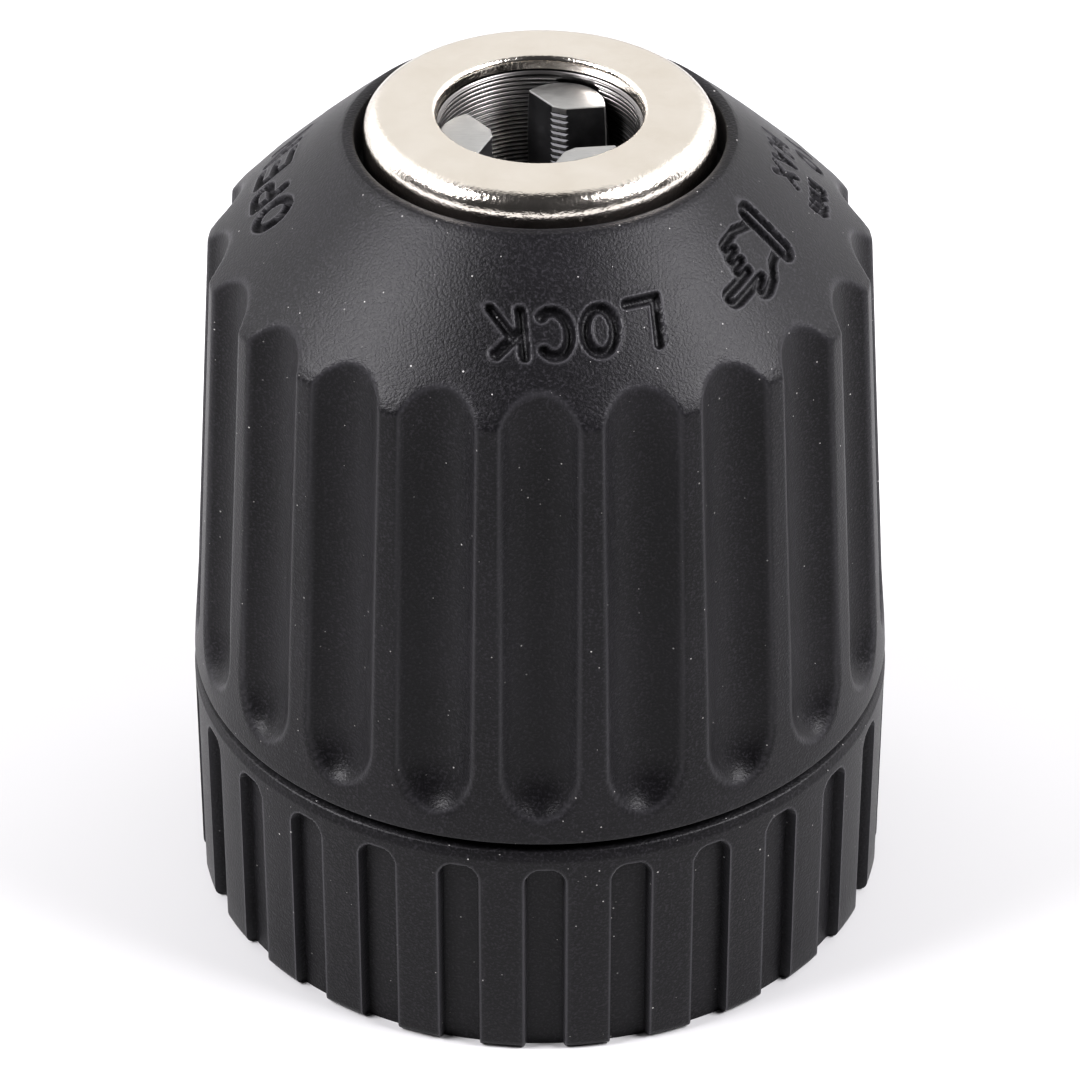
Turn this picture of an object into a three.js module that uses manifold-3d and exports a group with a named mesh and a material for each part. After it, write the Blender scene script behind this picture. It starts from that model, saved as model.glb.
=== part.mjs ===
// A two-sleeve keyless drill chuck: millimetres, +Z out of the nose, origin on the axis at the tail face.
// A steel body guides three slanted jaws. A split nut, driven by the front sleeve, runs on the rack teeth
// of the jaws and pushes back on a ball thrust bearing. The rear sleeve is held while the front one turns.
import * as THREE from "three";
import { mergeVertices } from "three/addons/utils/BufferGeometryUtils.js";
import Module from "manifold-3d";

const wasm = await Module();
wasm.setup();

// ---------- driving dimensions ----------
const overallLength = 47;
const sleeveRadius = 19; // both sleeves, at the seam between them
const roundSteps = 30; // facets around a turned piece
const fitGap = 0.05; // radial gap where one turned piece seats on another
const runGap = 0.45; // gap between a turning piece and a fixed one

// jaws
const jawCount = 3;
const firstJawAzimuth = 67; // degrees from +X
const jawAngle = THREE.MathUtils.degToRad(15); // between a jaw and the chuck's axis
const jawRadius = 2.35;
const jawTipRecess = 1.3; // below the nose face, at rest
const jawTipWidth = 2.8; // radially, across the flat end of a jaw
const restOpening = 5; // diameter between the jaws at rest
const largestOpening = 10;
const smallestOpening = 0.8;
const gripFlatWidth = 0.5;
const jawHoleGap = 0.15;
const jawSteps = 16;

// rack teeth and nut thread
const toothPitch = 2.5; // along the jaw
const toothDepth = 1.3; // below the jaw's outer line
const toothFloorWidth = 1;
const toothMouthWidth = 1.8;
const threadReach = 0.75; // how far the nut's thread dips below the jaw's outer line
const threadSideGap = 0.26;
const nutHeight = 7;
const nutBoreLift = 0.2; // nut's plain bore above the jaw's outer line
const nutWall = 2;
const nutSplitGap = 0.2;
const neckGap = 0.5; // between the nut's thread and the neck of the body
const bandWall = 0.9;
const driveDogCount = 6;
const driveDogAngle = THREE.MathUtils.degToRad(24);
const driveLugAngle = THREE.MathUtils.degToRad(30);
const driveReach = 0.75; // radial height of a dog or a lug

// thrust bearing
const ballRadius = 1.1;
const ballCount = 15;
const ballPlay = 0.02;
const raceThickness = 0.9;
const raceWidth = 2.6;
const cageThickness = 0.8;
const cageHoleGap = 0.08;
const seatLipWall = 0.3;
const seatLipHeight = 0.5;

// body
const noseRadius = 7.7; // inside the nose cap
const collarStep = 0.4; // ledge under the nose cap
const shankBoreRadius = 5.15;
const shankBoreFloor = 20.5;
const shankChamfer = 0.45;
const screwHoleRadius = 3.1;
const socketRadius = 4.25; // tapping size of the 3/8-24 spindle thread
const socketDepth = 16;
const socketChamfer = 0.8;
const hubRadius = 9.8;
const hubLength = 9.2;
const seatDrop = 25.6; // bearing seat below the nose face
const gripBandHeight = 3.8; // part of the flange that the rear sleeve grips
const gripBandStep = 0.45;
const shoulderRadius = 11.3;
const shoulderHeight = 5.5;
const bodyChamfer = 0.3;

// nose cap
const capRadius = 9.12;
const capCorner = 1.2;
const capThickness = 0.8;
const capBoreRadius = 5.34;
const capSkirtHeight = 3.6;

// front sleeve
const seamHeight = 13.65;
const seamGap = 0.4;
const sleeveDraft = 0.0615; // radius lost per millimetre of height
const sleeveWall = 1.5; // under the flutes
const rimDrop = 1.4; // sleeve's rim below the nose face
const rimWidth = 0.58;
const coneAngle = THREE.MathUtils.degToRad(45.6); // from the axis
const coneWall = 2;
const shoulderFillet = 1.3;
const sleeveEdge = 0.3;
const fluteCount = 21;
const fluteCutterRadius = 2.5;
const fluteSteps = 10; // facets around a flute's cutter
const fluteDepth = 1.15;
const fluteEndLift = 1.85; // lowest point of a flute above the seam
const lipThickness = 1.5; // inner lip that the nose cap traps
const lipGap = 0.2;

// rear sleeve
const ribCount = 26;
const grooveWidth = 2.14;
const grooveDepth = 0.5;
const grooveTopDrop = 1.1; // groove's end below the sleeve's top edge
const grooveCorner = 0.95;
const rearWall = 1.8;
const tailWall = 1.7;
const tailHoleGap = 0.8;

// ---------- places worked out from the dimensions ----------
const jawTipHeight = overallLength - jawTipRecess;
const jawSectionRadius = jawRadius / Math.cos(jawAngle);
const jawTipAxisRadius = restOpening / 2 + jawTipWidth - jawSectionRadius;
const jawAxisRadiusAt = (z) => jawTipAxisRadius + (jawTipHeight - z) * Math.tan(jawAngle);
const jawOuterRadiusAt = (z) => jawAxisRadiusAt(z) + jawSectionRadius;
const closingSlide = (restOpening - smallestOpening) / 2 / Math.sin(jawAngle);
const openingSlide = (largestOpening - restOpening) / 2 / Math.sin(jawAngle);

const seatHeight = overallLength - seatDrop;
const flangeHeight = seatHeight - hubLength;
const rearRaceTop = seatHeight + raceThickness;
const ballHeight = rearRaceTop + ballPlay + ballRadius;
const frontRaceBottom = ballHeight + ballRadius + ballPlay;
const nutBottom = frontRaceBottom + raceThickness + ballPlay;
const nutTop = nutBottom + nutHeight;

const nutRadius = jawOuterRadiusAt(nutBottom) + nutBoreLift + nutWall;
const bandInnerRadius = nutRadius + fitGap;
const bandRadius = bandInnerRadius + bandWall;
const driveClearRadius = bandRadius + driveReach; // outside of the band's lugs
const raceInnerRadius = jawOuterRadiusAt(seatHeight) + runGap * 0.66;
const raceRadius = raceInnerRadius + raceWidth;
const ballTrackRadius = (raceInnerRadius + raceRadius) / 2;
const flangeRadius = raceRadius + fitGap + seatLipWall;
const gripBandRadius = flangeRadius + gripBandStep;
const sleeveCavityRadius = Math.max(driveClearRadius, flangeRadius) + runGap * 0.5;

const frontSleeveBottom = seamHeight + seamGap / 2;
const rearSleeveTop = seamHeight - seamGap / 2;
const collarHeight = overallLength - capSkirtHeight;
const capSeatHeight = overallLength - capThickness;
const collarRadius = noseRadius + collarStep;

// ---------- helpers ----------
const vec2 = (r, z) => new THREE.Vector2(r, z);
const azimuthOf = (index, count) => (index * 2 * Math.PI) / count;

// A solid of manifold-3d from a closed three.js geometry, moved by a matrix.
function solidOf(geometry, matrix = new THREE.Matrix4()) {
  const bare = geometry.clone().applyMatrix4(matrix);
  bare.deleteAttribute("normal");
  bare.deleteAttribute("uv");
  const merged = mergeVertices(bare, 1e-4);
  const mesh = new wasm.Mesh({
    numProp: 3,
    vertProperties: merged.attributes.position.array,
    triVerts: new Uint32Array(merged.index.array),
  });
  return new wasm.Manifold(mesh);
}

function geometryOf(solid) {
  const mesh = solid.getMesh();
  const positions = new THREE.BufferAttribute(new Float32Array(mesh.vertProperties), 3);
  const indexed = new THREE.BufferGeometry().setAttribute("position", positions);
  indexed.setIndex(new THREE.BufferAttribute(new Uint32Array(mesh.triVerts), 1));
  const flat = indexed.toNonIndexed();
  flat.computeVertexNormals();
  return flat;
}

// Turns a closed outline of (radius, height) points, listed counter-clockwise, about +Z.
function turned(outline, steps = roundSteps) {
  const closed = [...outline, outline[0]];
  const lathe = new THREE.LatheGeometry(closed, steps);
  return lathe.rotateX(Math.PI / 2);
}

// A solid of revolution whose outline starts and ends on the axis, listed from the bottom up.
function turnedOnAxis(outline, steps) {
  return new THREE.LatheGeometry(outline, steps).rotateX(Math.PI / 2);
}

// Quarter-circle points from one angle to another, for a rounded corner of an outline.
function cornerArc(centreRadius, centreHeight, radius, from, to, steps) {
  return Array.from({ length: steps + 1 }, (_, i) => {
    const angle = from + ((to - from) * i) / steps;
    return vec2(centreRadius + radius * Math.cos(angle), centreHeight + radius * Math.sin(angle));
  });
}

// Part of a ring, centred on +X, between two radii and two heights.
function ringSector(innerRadius, outerRadius, bottom, top, angle) {
  const shape = new THREE.Shape();
  shape.absarc(0, 0, outerRadius, -angle / 2, angle / 2, false);
  shape.absarc(0, 0, innerRadius, angle / 2, -angle / 2, true);
  const options = { depth: top - bottom, bevelEnabled: false, curveSegments: 3 };
  return new THREE.ExtrudeGeometry(shape, options).translate(0, 0, bottom);
}

function aroundAxis(count, offset, make) {
  return Array.from({ length: count }, (_, i) => {
    const turn = new THREE.Matrix4().makeRotationZ(azimuthOf(i, count) + offset);
    return solidOf(make(i), turn);
  });
}

const cutAll = (blank, cutters) => cutters.reduce((rest, cutter) => rest.subtract(cutter), blank);
const joinAll = (blank, pieces) => pieces.reduce((whole, piece) => whole.add(piece), blank);

// ---------- materials ----------
const moulded = (color, roughness) => new THREE.MeshStandardMaterial({ color, roughness, metalness: 0 });
const steel = (color, roughness) => new THREE.MeshStandardMaterial({ color, roughness, metalness: 1 });
const frontPlastic = moulded(0x2b2b2e, 0.55);
const rearPlastic = moulded(0x28282b, 0.6);
const nickel = steel(0xd8cfc2, 0.16);
const turnedSteel = steel(0x6f6d6b, 0.4);
const jawSteel = steel(0x3a3b3d, 0.38);
const nutSteel = steel(0x55555a, 0.45);
const hardSteel = steel(0x9a9a9e, 0.2);
const cagePressing = steel(0xb59a5a, 0.35);

// ---------- jaws ----------
// The jaw's own line: the outermost line of the rod in the plane of azimuth 0. A point on it is a distance
// along the jaw from the tip's height, plus a lift away from the rod.
const jawAlong = vec2(-Math.sin(jawAngle), Math.cos(jawAngle));
const jawOutward = vec2(Math.cos(jawAngle), Math.sin(jawAngle));
function onJawLine(along, lift) {
  const start = vec2(jawOuterRadiusAt(jawTipHeight), jawTipHeight);
  return start.addScaledVector(jawAlong, along).addScaledVector(jawOutward, lift);
}
const alongAtHeight = (z) => (z - jawTipHeight) / Math.cos(jawAngle);

// Turns +Z to the jaw's direction and moves the origin to the jaw's axis at a height.
function jawAxisMatrix(z) {
  const tilt = new THREE.Matrix4().makeRotationY(-jawAngle);
  return tilt.setPosition(jawAxisRadiusAt(z), 0, z);
}

const lowestToothAlong = alongAtHeight(nutBottom) - closingSlide - toothPitch;
const highestToothAlong = alongAtHeight(nutTop) + openingSlide + toothPitch * 0.4;
const jawBackAlong = lowestToothAlong - toothPitch * 0.4;
const jawLeadAngle = Math.atan(toothPitch / (2 * Math.PI * jawOuterRadiusAt((nutBottom + nutTop) / 2)));

// One gap between two rack teeth, its middle at the origin, cutting in from +X.
function toothGap() {
  const flare = (toothMouthWidth - toothFloorWidth) / 2 / toothDepth;
  const outside = 1;
  const mouth = toothFloorWidth / 2 + flare * (toothDepth + outside);
  const shape = new THREE.Shape([
    vec2(-toothDepth, -toothFloorWidth / 2),
    vec2(outside, -mouth),
    vec2(outside, mouth),
    vec2(-toothDepth, toothFloorWidth / 2),
  ]);
  const width = 3 * jawRadius;
  const prism = new THREE.ExtrudeGeometry(shape, { depth: width, bevelEnabled: false });
  return prism.translate(0, 0, -width / 2).rotateX(Math.PI / 2);
}

// Keeps what lies outside the grip flat and its two flanks, and below the jaw's flat end.
function jawPointPrism() {
  const reach = 40;
  const flank = THREE.MathUtils.degToRad(360 / jawCount / 2);
  const half = gripFlatWidth / 2;
  const inner = restOpening / 2;
  const shape = new THREE.Shape([
    vec2(inner, -half),
    vec2(inner + reach * Math.cos(flank), -half - reach * Math.sin(flank)),
    vec2(inner + reach * Math.cos(flank), half + reach * Math.sin(flank)),
    vec2(inner, half),
  ]);
  const depth = 2 * jawTipHeight;
  return new THREE.ExtrudeGeometry(shape, { depth, bevelEnabled: false }).translate(0, 0, jawTipHeight - depth);
}

// The teeth of each jaw are shifted along it by its share of the nut's pitch.
function jawSolid(index) {
  const overshoot = 4;
  const length = -jawBackAlong + overshoot;
  const rod = new THREE.CylinderGeometry(jawRadius, jawRadius, length, jawSteps).rotateX(Math.PI / 2);
  rod.rotateZ(Math.PI / jawSteps);
  const rodMiddle = jawTipHeight + ((jawBackAlong + overshoot) / 2) * Math.cos(jawAngle);
  const blank = solidOf(rod, jawAxisMatrix(rodMiddle)).intersect(solidOf(jawPointPrism()));
  const shift = (toothPitch * (firstJawAzimuth / 360 + index / jawCount)) % toothPitch;
  const gaps = [];
  for (let along = lowestToothAlong + shift; along < highestToothAlong; along += toothPitch) {
    const middle = onJawLine(along, 0);
    const place = new THREE.Matrix4().makeTranslation(middle.x, 0, middle.y);
    place.multiply(new THREE.Matrix4().makeRotationY(-jawAngle));
    place.multiply(new THREE.Matrix4().makeRotationX(jawLeadAngle));
    gaps.push(solidOf(toothGap(), place));
  }
  return cutAll(blank, gaps);
}

// ---------- nut ----------
// One thread ridge wound up the cone that the jaws' outer lines lie on, as a right-hand helix.
function threadRidge() {
  const stepsPerTurn = 20;
  const rootLift = nutBoreLift + 0.4;
  const flare = (toothMouthWidth - toothFloorWidth) / 2 / toothDepth;
  const halfWidthAt = (lift) => toothFloorWidth / 2 + flare * (toothDepth + lift) - threadSideGap;
  const section = [
    [halfWidthAt(-threadReach), -threadReach],
    [halfWidthAt(nutBoreLift), rootLift],
    [-halfWidthAt(nutBoreLift), rootLift],
    [-halfWidthAt(-threadReach), -threadReach],
  ];
  const turns = Math.ceil(nutHeight / toothPitch) + 3;
  const startAlong = lowestToothAlong + toothPitch * Math.ceil((alongAtHeight(nutBottom) - lowestToothAlong) / toothPitch - 2);
  const points = [];
  const faces = [];
  const ring = section.length;
  for (let i = 0; i <= turns * stepsPerTurn; i++) {
    const turn = (i + 0.5) / stepsPerTurn;
    const azimuth = 2 * Math.PI * turn;
    const along = startAlong + toothPitch * turn;
    for (const [across, lift] of section) {
      const p = onJawLine(along + across, lift);
      points.push(p.x * Math.cos(azimuth), p.x * Math.sin(azimuth), p.y);
    }
    if (i === 0) continue;
    const now = i * ring;
    const before = now - ring;
    for (let k = 0; k < ring; k++) {
      const next = (k + 1) % ring;
      faces.push(before + k, before + next, now + next, before + k, now + next, now + k);
    }
  }
  const last = points.length / 3 - ring;
  faces.push(0, 2, 1, 0, 3, 2, last, last + 1, last + 2, last, last + 2, last + 3);
  const geometry = new THREE.BufferGeometry();
  geometry.setAttribute("position", new THREE.Float32BufferAttribute(points, 3));
  geometry.setIndex(faces);
  return geometry;
}

function nutRingSolid() {
  const boreAt = (z) => onJawLine(alongAtHeight(z), nutBoreLift).x;
  const edge = bodyChamfer;
  const blank = solidOf(
    turned([
      vec2(boreAt(nutBottom), nutBottom),
      vec2(nutRadius - edge, nutBottom),
      vec2(nutRadius, nutBottom + edge),
      vec2(nutRadius, nutTop - edge),
      vec2(nutRadius - edge, nutTop),
      vec2(boreAt(nutTop), nutTop),
    ]),
  );
  const envelope = solidOf(
    turnedOnAxis([vec2(0, nutBottom), vec2(nutRadius - edge, nutBottom), vec2(nutRadius - edge, nutTop), vec2(0, nutTop)], roundSteps),
  );
  return blank.add(solidOf(threadRidge()).intersect(envelope));
}

// Keeps one side of the plane that splits the nut. Side is 1 or -1.
function nutHalfSolid(nut, side) {
  const size = 4 * nutRadius;
  const keep = new THREE.BoxGeometry(size, size, size).translate(0, (side * (size + nutSplitGap)) / 2, nutBottom);
  return nut.intersect(solidOf(keep));
}

function nutBandSolid() {
  const band = solidOf(
    turned([
      vec2(bandInnerRadius, nutBottom),
      vec2(bandRadius, nutBottom),
      vec2(bandRadius, nutTop),
      vec2(bandInnerRadius, nutTop),
    ]),
  );
  const overlap = 0.3;
  const lug = () =>
    ringSector(bandRadius - overlap, driveClearRadius, nutBottom + overlap, nutTop - overlap, driveLugAngle);
  return joinAll(band, aroundAxis(driveDogCount, 0, lug));
}

// ---------- thrust bearing ----------
const flatRing = (inner, outer, bottom, top) =>
  turned([vec2(inner, bottom), vec2(outer, bottom), vec2(outer, top), vec2(inner, top)]);

const rearRace = () => flatRing(raceInnerRadius, raceRadius, seatHeight, rearRaceTop);

const frontRace = () =>
  flatRing(bearingPilotRadius + runGap * 0.4, raceRadius, frontRaceBottom, frontRaceBottom + raceThickness);

const bearingPilotRadius = jawOuterRadiusAt(seatHeight) - runGap * 0.8;

function ballCageSolid() {
  const web = 0.25; // metal left beside a hole
  const holeRadius = ballRadius + cageHoleGap;
  const inner = ballTrackRadius - holeRadius - web;
  const outer = ballTrackRadius + holeRadius + web;
  const ring = solidOf(flatRing(inner, outer, ballHeight - cageThickness / 2, ballHeight + cageThickness / 2));
  const hole = () => {
    const drill = new THREE.CylinderGeometry(holeRadius, holeRadius, 3 * cageThickness, 10).rotateX(Math.PI / 2);
    return drill.translate(ballTrackRadius, 0, ballHeight);
  };
  return cutAll(ring, aroundAxis(ballCount, 0, hole));
}

// ---------- body ----------
function bodySolid() {
  const neckAt = (z) => onJawLine(alongAtHeight(z), -threadReach - neckGap).x;
  const c = bodyChamfer;
  const pilotTop = nutBottom - c;
  const neckTop = nutTop + runGap;
  const shoulderTop = neckTop + shoulderHeight;
  const gripBandTop = hubLength + gripBandHeight;
  const blank = solidOf(
    turned(
      [
        vec2(socketRadius + socketChamfer, 0),
        vec2(hubRadius - c, 0),
        vec2(hubRadius, c),
        vec2(hubRadius, hubLength),
        vec2(gripBandRadius - c, hubLength),
        vec2(gripBandRadius, hubLength + c),
        vec2(gripBandRadius, gripBandTop),
        vec2(flangeRadius, gripBandTop),
        vec2(flangeRadius, seatHeight + seatLipHeight),
        vec2(raceRadius + fitGap, seatHeight + seatLipHeight),
        vec2(raceRadius + fitGap, seatHeight),
        vec2(bearingPilotRadius, seatHeight),
        vec2(bearingPilotRadius, pilotTop),
        vec2(neckAt(pilotTop), pilotTop),
        vec2(neckAt(neckTop), neckTop),
        vec2(shoulderRadius - c, neckTop),
        vec2(shoulderRadius, neckTop + c),
        vec2(shoulderRadius, shoulderTop),
        vec2(collarRadius, shoulderTop + (shoulderRadius - collarRadius)),
        vec2(collarRadius, collarHeight),
        vec2(noseRadius, collarHeight),
        vec2(noseRadius, capSeatHeight),
        vec2(shankBoreRadius + shankChamfer, capSeatHeight),
        vec2(shankBoreRadius, capSeatHeight - shankChamfer - 0.1),
        vec2(shankBoreRadius, shankBoreFloor),
        vec2(screwHoleRadius, shankBoreFloor - 1.2),
        vec2(screwHoleRadius, socketDepth + 0.6),
        vec2(socketRadius, socketDepth),
        vec2(socketRadius, socketChamfer),
      ],
    ),
  );
  const holeLength = 4 * overallLength;
  const hole = () => {
    const drill = new THREE.CylinderGeometry(
      jawRadius + jawHoleGap,
      jawRadius + jawHoleGap,
      holeLength,
      jawSteps,
    ).rotateX(Math.PI / 2);
    return drill.rotateZ(Math.PI / jawSteps).applyMatrix4(jawAxisMatrix(jawTipHeight));
  };
  const azimuth = THREE.MathUtils.degToRad(firstJawAzimuth);
  return cutAll(blank, aroundAxis(jawCount, azimuth, hole));
}

// ---------- nose cap ----------
function noseCap() {
  const inside = noseRadius + fitGap;
  const top = overallLength;
  const edge = 0.15;
  return turned([
    vec2(inside, collarHeight + fitGap),
    vec2(capRadius - edge, collarHeight + fitGap),
    vec2(capRadius, collarHeight + fitGap + edge),
    ...cornerArc(capRadius - capCorner, top - capCorner, capCorner, 0, Math.PI / 2, 4),
    vec2(capBoreRadius + edge, top),
    vec2(capBoreRadius, top - edge),
    vec2(capBoreRadius, capSeatHeight + fitGap),
    vec2(inside, capSeatHeight + fitGap),
  ]);
}

// ---------- front sleeve ----------
const sideRadiusAt = (z) => sleeveRadius - sleeveDraft * (z - seamHeight);
const rimInnerRadius = capRadius + runGap;
const coneTopRadius = rimInnerRadius + rimWidth;
const rimHeight = overallLength - rimDrop;
const coneRadiusAt = (z) => coneTopRadius + (rimHeight - z) * Math.tan(coneAngle);
// Where the cone meets the sleeve's side.
const sleeveShoulderHeight =
  (coneTopRadius + rimHeight * Math.tan(coneAngle) - sleeveRadius - sleeveDraft * seamHeight) /
  (Math.tan(coneAngle) - sleeveDraft);

// Rounds the corner between the side and the cone.
function shoulderArc() {
  const corner = vec2(sideRadiusAt(sleeveShoulderHeight), sleeveShoulderHeight);
  const sideTurn = Math.atan(sleeveDraft);
  const coneTurn = Math.PI / 2 - (Math.PI / 2 - coneAngle);
  const setback = shoulderFillet * Math.tan((coneTurn - sideTurn) / 2);
  const start = corner.clone().add(vec2(setback * Math.sin(sideTurn), -setback * Math.cos(sideTurn)));
  const centre = start.clone().add(vec2(-shoulderFillet * Math.cos(sideTurn), -shoulderFillet * Math.sin(sideTurn)));
  return cornerArc(centre.x, centre.y, shoulderFillet, sideTurn, coneTurn, 3);
}

// A ball-ended cutter for one flute at azimuth 0, leaning with the sleeve's side.
function fluteCutter() {
  const r = fluteCutterRadius;
  const halfWidth = Math.sqrt(r * r - (r - fluteDepth) * (r - fluteDepth));
  const endHeight = seamHeight + fluteEndLift + halfWidth;
  const quarter = cornerArc(0, 0, r, -Math.PI / 2, 0, 3);
  quarter[0].x = 0;
  const cutter = turnedOnAxis([...quarter, vec2(r, overallLength), vec2(0, overallLength)], fluteSteps);
  const lean = new THREE.Matrix4().makeRotationY(-Math.atan(sleeveDraft));
  lean.setPosition(sideRadiusAt(endHeight) + r - fluteDepth, 0, endHeight);
  return cutter.rotateZ(Math.PI / fluteSteps).applyMatrix4(lean);
}

function frontSleeveSolid() {
  const coneInset = coneWall / Math.cos(coneAngle);
  const lipRadius = collarRadius + runGap * 0.6;
  const lipTop = collarHeight - lipGap;
  const lipBottom = lipTop - lipThickness;
  const shelf = nutTop + lipGap;
  const upperRadius = bandRadius - lipGap * 2;
  const mouthRadius = gripBandRadius + runGap;
  const mouthTop = hubLength + flangeHeight * 0.6;
  const innerConeHeight = rimHeight - (upperRadius - coneTopRadius + coneInset) / Math.tan(coneAngle);
  const lipConeHeight = rimHeight - (rimInnerRadius - coneTopRadius + coneInset) / Math.tan(coneAngle);
  const blank = solidOf(
    turned(
      [
        vec2(mouthRadius, frontSleeveBottom),
        vec2(sideRadiusAt(frontSleeveBottom) - sleeveEdge, frontSleeveBottom),
        vec2(sideRadiusAt(frontSleeveBottom + sleeveEdge), frontSleeveBottom + sleeveEdge),
        ...shoulderArc(),
        vec2(coneTopRadius, rimHeight),
        vec2(rimInnerRadius, rimHeight),
        vec2(rimInnerRadius, lipTop),
        vec2(lipRadius, lipTop),
        vec2(lipRadius, lipBottom),
        vec2(rimInnerRadius, Math.min(lipBottom, lipConeHeight)),
        vec2(upperRadius, innerConeHeight),
        vec2(upperRadius, shelf),
        vec2(sleeveCavityRadius, shelf),
        vec2(sleeveCavityRadius, mouthTop),
        vec2(mouthRadius, mouthTop - (mouthRadius - sleeveCavityRadius)),
      ],
      fluteCount * 2,
    ),
  );
  const fluted = cutAll(blank, aroundAxis(fluteCount, -Math.PI / 2, fluteCutter));
  const overlap = 0.3;
  const dog = () =>
    ringSector(bandRadius + fitGap * 2, sleeveCavityRadius + overlap, nutBottom + overlap, shelf + overlap, driveDogAngle);
  return joinAll(fluted, aroundAxis(driveDogCount, Math.PI / driveDogCount, dog));
}

// ---------- rear sleeve ----------
// One groove with a rounded upper end, open at the tail, cutting in from outside at azimuth 0.
function grooveCutter() {
  const half = grooveWidth / 2;
  const top = rearSleeveTop - grooveTopDrop;
  const below = 2;
  const shape = new THREE.Shape();
  shape.moveTo(-half, -below);
  shape.lineTo(half, -below);
  shape.lineTo(half, top - grooveCorner);
  shape.absarc(half - grooveCorner, top - grooveCorner, grooveCorner, 0, Math.PI / 2, false);
  shape.absarc(grooveCorner - half, top - grooveCorner, grooveCorner, Math.PI / 2, Math.PI, false);
  const depth = 3;
  const prism = new THREE.ExtrudeGeometry(shape, { depth, bevelEnabled: false, curveSegments: 2 });
  prism.rotateX(Math.PI / 2).rotateZ(Math.PI / 2);
  return prism.translate(sleeveRadius - grooveDepth, 0, 0);
}

function rearSleeveSolid() {
  const inside = sleeveRadius - grooveDepth - rearWall + tailHoleGap * 0.5;
  const blank = solidOf(
    turned(
      [
        vec2(hubRadius + tailHoleGap, 0),
        vec2(sleeveRadius - sleeveEdge, 0),
        vec2(sleeveRadius, sleeveEdge),
        vec2(sleeveRadius, rearSleeveTop - sleeveEdge),
        vec2(sleeveRadius - sleeveEdge, rearSleeveTop),
        vec2(gripBandRadius + fitGap, rearSleeveTop),
        vec2(gripBandRadius + fitGap, hubLength),
        vec2(inside, hubLength - (inside - gripBandRadius)),
        vec2(inside, tailWall),
        vec2(hubRadius + tailHoleGap, tailWall),
      ],
      ribCount * 2,
    ),
  );
  return cutAll(blank, aroundAxis(ribCount, -Math.PI / 2, grooveCutter));
}

// ---------- assembly ----------
function piece(name, shape, material) {
  const geometry = shape.isBufferGeometry ? shape : geometryOf(shape);
  const mesh = new THREE.Mesh(geometry, material);
  mesh.name = name;
  return mesh;
}

function fixedGroup() {
  const group = new THREE.Group();
  group.add(piece("chuck_body", bodySolid(), turnedSteel));
  group.add(piece("rear_sleeve", rearSleeveSolid(), rearPlastic));
  group.add(piece("nose_cap", noseCap(), nickel));
  group.add(piece("rear_race", rearRace(), hardSteel));
  return group;
}

function turningGroup() {
  const group = new THREE.Group();
  const nut = nutRingSolid();
  group.add(piece("front_sleeve", frontSleeveSolid(), frontPlastic));
  group.add(piece("nut_half_1", nutHalfSolid(nut, 1), nutSteel));
  group.add(piece("nut_half_2", nutHalfSolid(nut, -1), nutSteel));
  group.add(piece("nut_band", nutBandSolid(), hardSteel));
  group.add(piece("front_race", frontRace(), hardSteel));
  return group;
}

function jawGroup() {
  const group = new THREE.Group();
  for (let i = 0; i < jawCount; i++) {
    const jaw = piece("jaw_" + (i + 1), jawSolid(i), jawSteel);
    jaw.rotation.z = THREE.MathUtils.degToRad(firstJawAzimuth) + azimuthOf(i, jawCount);
    group.add(jaw);
  }
  return group;
}

function bearingGroup() {
  const group = new THREE.Group();
  group.add(piece("ball_cage", ballCageSolid(), cagePressing));
  for (let i = 0; i < ballCount; i++) {
    const ball = piece("ball_" + String(i + 1).padStart(2, "0"), new THREE.SphereGeometry(ballRadius, 8, 6), hardSteel);
    const azimuth = azimuthOf(i, ballCount);
    ball.rotation.x = Math.PI / 2;
    ball.position.set(ballTrackRadius * Math.cos(azimuth), ballTrackRadius * Math.sin(azimuth), ballHeight);
    group.add(ball);
  }
  return group;
}

const chuck = new THREE.Group();
chuck.add(fixedGroup(), turningGroup(), jawGroup(), bearingGroup());

export default chuck;
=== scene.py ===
import math

import bmesh
import bpy
import numpy as np
from mathutils import Matrix, Vector


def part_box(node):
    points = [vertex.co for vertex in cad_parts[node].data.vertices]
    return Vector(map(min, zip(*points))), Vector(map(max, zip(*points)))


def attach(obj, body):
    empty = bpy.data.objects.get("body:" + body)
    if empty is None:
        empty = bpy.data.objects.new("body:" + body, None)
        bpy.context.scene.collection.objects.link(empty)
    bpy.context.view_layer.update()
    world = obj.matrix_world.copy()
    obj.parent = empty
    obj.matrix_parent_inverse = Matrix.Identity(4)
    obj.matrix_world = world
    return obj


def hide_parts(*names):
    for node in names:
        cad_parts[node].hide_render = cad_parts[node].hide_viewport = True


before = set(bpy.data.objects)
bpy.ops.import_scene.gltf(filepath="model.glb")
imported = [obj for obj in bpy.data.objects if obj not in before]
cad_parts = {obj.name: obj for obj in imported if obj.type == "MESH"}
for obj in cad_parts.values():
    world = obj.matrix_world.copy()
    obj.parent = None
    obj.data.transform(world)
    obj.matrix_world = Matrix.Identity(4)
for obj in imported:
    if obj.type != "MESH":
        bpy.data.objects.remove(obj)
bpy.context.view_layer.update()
mm = 0.001
print("frame loaded:", len(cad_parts), "nodes")


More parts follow.
